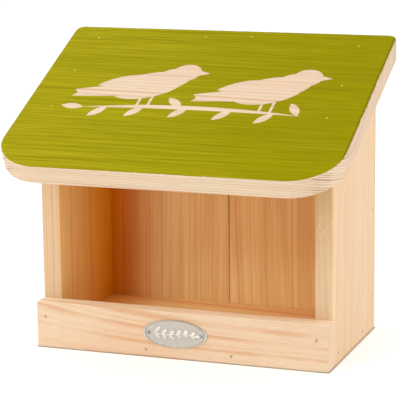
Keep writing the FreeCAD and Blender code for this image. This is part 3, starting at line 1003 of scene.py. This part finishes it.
def hanger_recess():
    low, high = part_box("hanger_plate")
    outside = high.y + OUTSIDE
    seat = hanger_shape(PLAY, low.y, outside, "seat_cutter")
    outline = keyhole_outline(POCKET_HALF, POCKET_HALF * 0.999, key_centre())
    pocket = back_prism(outline, low.y - POCKET_DEPTH, outside, "pocket_cutter")
    return [seat, pocket]


def hanger_plate():
    low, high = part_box("hanger_plate")
    piece = hanger_shape(0.0, low.y, high.y, "hanger_plate_steel")
    hole = back_prism(
        keyhole_outline(KEY_RADIUS, KEY_SLOT / 2, key_centre()), low.y - MM, high.y + MM, "key_cutter"
    )
    cut(piece, [hole])
    ease_edges(piece, 0.2 * MM)
    cut(piece, screw_cutters())
    smooth(piece)
    use(piece, ZINC)
    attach(piece, "root")
    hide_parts("hanger_plate")
    return piece


# ---------------------------------------------------------------- build

STEEL = metal("nail_steel", colour(206, 184, 158), colour(146, 124, 102), 0.45, 0.7, 900)
PIN_METAL = metal("pin_metal", colour(206, 198, 184), colour(128, 116, 100), 0.4, 0.6, 900)
DARK_STEEL = metal("dark_nail_steel", colour(150, 122, 94), colour(92, 72, 54), 0.45, 0.7, 900)
ZINC = metal("hanger_zinc", colour(198, 200, 201), colour(178, 181, 184), 0.36, 0.46, 160)
SCREW_ZINC = metal("screw_zinc", colour(182, 180, 172), colour(132, 130, 122), 0.35, 0.5, 700)

roof_board()
SIDE_NAILS = ("front_side_nails", "side_back_nails", "side_floor_nails", "roof_side_nails")
upright_board("left_side", nail_cutters(*SIDE_NAILS))
upright_board("right_side", nail_cutters(*SIDE_NAILS), SIDE_ROUNDING)
for plank in ("back_plank_left", "back_plank_right"):
    nail_holes = nail_cutters("side_back_nails", "back_floor_nails", "roof_back_nails")
    upright_board(plank, nail_holes + hanger_recess() + screw_cutters())
flat_board("floor_board", nail_cutters("side_floor_nails", "front_floor_nails", "back_floor_nails"))
flat_board("front_board", nail_cutters("front_side_nails", "front_floor_nails"), FRONT_EASED)
paint_coat()
nail_paint()
badge()
hanger_plate()

NAIL_FINISH = {"front": STEEL, "back": STEEL, "side": DARK_STEEL, "roof": STEEL}
for name in NAIL_NODES:
    use(nodes[name], NAIL_FINISH[name.split("_")[0]])
use(nodes["badge_pins"], PIN_METAL)
use(nodes["hanger_screws"], SCREW_ZINC)


# ---------------------------------------------------------------- stage, light and camera

STAGE_HALF = 9               # metres
STAGE_CORNER = 2
STAGE_THICKNESS = 20 * MM


def floor():
    front_low, front_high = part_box("front_board")
    back_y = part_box("back_plank_left")[1].y
    foot = ((front_low.x, front_high.x), (front_low.y, back_y))
    outline = rounded_outline(STAGE_HALF, -STAGE_HALF, STAGE_HALF, STAGE_CORNER, STAGE_CORNER, 12)
    bm = extruded(outline, lambda point, level: (*point, 0 if level else -STAGE_THICKNESS))
    piece = mesh_from(bm, "studio_floor")
    shade = Shade("studio_floor")
    where = shade.node("ShaderNodeTexCoord").outputs["Object"]
    faint = shade.noise(where, (3, 3, 3), 2.0).outputs[0]
    # Painted contact shadow: hardly any light reaches the floor right under the edges of the boards, so
    # its colour and glow are darkened there
    along = shade.node("ShaderNodeSeparateXYZ", inputs={0: where}).outputs
    beyond = []
    for value, (low, high) in zip(along, foot):
        moved = shade.math("ABSOLUTE", shade.math("SUBTRACT", value, (low + high) / 2))
        beyond.append(shade.math("SUBTRACT", moved, (high - low) / 2))
    lit = shade.step(shade.math("MAXIMUM", *beyond), -0.5 * MM, 2.2 * MM, 0.12, 1.0)
    tone = shade.mix(faint, (0.90, 0.90, 0.90, 1), (0.93, 0.93, 0.93, 1))
    shade.set(
        Base_Color=shade.mix(lit, (0.30, 0.22, 0.14, 1), tone),
        Emission_Strength=shade.math("MULTIPLY", lit, 0.3),
    )
    shade.shader.inputs["Roughness"].default_value = 0.9
    shade.shader.inputs["Emission Color"].default_value = (1, 1, 1, 1)
    use(piece, shade.material)


def area_light(name, azimuth, elevation, distance, size, power):
    """Soft box aimed at the middle of the object. Azimuth 0 is the front, 90 the right."""
    data = bpy.data.lights.new(name, "AREA")
    data.shape = "DISK"
    data.size = size
    data.energy = power
    light = bpy.data.objects.new(name, data)
    bpy.context.scene.collection.objects.link(light)
    turn, rise = math.radians(azimuth), math.radians(elevation)
    away = Vector((math.sin(turn) * math.cos(rise), -math.cos(turn) * math.cos(rise), math.sin(rise)))
    middle = (cad_box[0] + cad_box[1]) / 2
    light.location = middle + away * distance
    light.rotation_mode = "QUATERNION"
    light.rotation_quaternion = away.to_track_quat("Z", "Y")


def world(strength):
    made = bpy.data.worlds.new("studio")
    made.use_nodes = True
    background = made.node_tree.nodes["Background"]
    background.inputs[0].default_value = (1, 1, 1, 1)
    background.inputs[1].default_value = strength
    bpy.context.scene.world = made


VIEW_AZIMUTH = math.radians(20.10)
VIEW_ELEVATION = math.radians(11.69)
VIEW_ROLL = math.radians(-0.67)
VIEW_DISTANCE = 1.4770
VIEW_LENS = 166.94
AIM_RIGHT = -5.78 * MM       # the aim point is this far right of and above the reference point
AIM_UP = 12.31 * MM
REFERENCE_HEIGHT = 100 * MM
SENSOR_WIDTH = 36            # millimetres, as the lens is


def camera():
    turn, rise = VIEW_AZIMUTH, VIEW_ELEVATION
    forward = Vector((-math.sin(turn) * math.cos(rise), math.cos(turn) * math.cos(rise), -math.sin(rise)))
    right = Vector((math.cos(turn), math.sin(turn), 0))
    up = right.cross(forward)
    right, up = (
        right * math.cos(VIEW_ROLL) + up * math.sin(VIEW_ROLL),
        up * math.cos(VIEW_ROLL) - right * math.sin(VIEW_ROLL),
    )
    front_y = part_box("front_board")[0].y
    back_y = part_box("right_side")[1].y
    reference = Vector((0, (front_y + back_y) / 2, REFERENCE_HEIGHT))
    place = reference + right * AIM_RIGHT + up * AIM_UP - forward * VIEW_DISTANCE
    data = bpy.data.cameras.new("camera")
    data.lens = VIEW_LENS
    data.sensor_width = SENSOR_WIDTH
    piece = bpy.data.objects.new("camera", data)
    bpy.context.scene.collection.objects.link(piece)
    piece.matrix_world = Matrix.Translation(place) @ Matrix((right, up, -forward)).transposed().to_4x4()
    bpy.context.scene.camera = piece


floor()
area_light("key", azimuth=-36, elevation=40, distance=1.7, size=1.2, power=4.5)
area_light("opening", azimuth=-28, elevation=11, distance=1.6, size=1.0, power=4.6)
area_light("right", azimuth=75, elevation=22, distance=1.7, size=1.2, power=3)
area_light("rear", azimuth=190, elevation=35, distance=1.8, size=1.4, power=2)
world(0.8)
camera()
bpy.context.scene.view_settings.view_transform = "Standard"
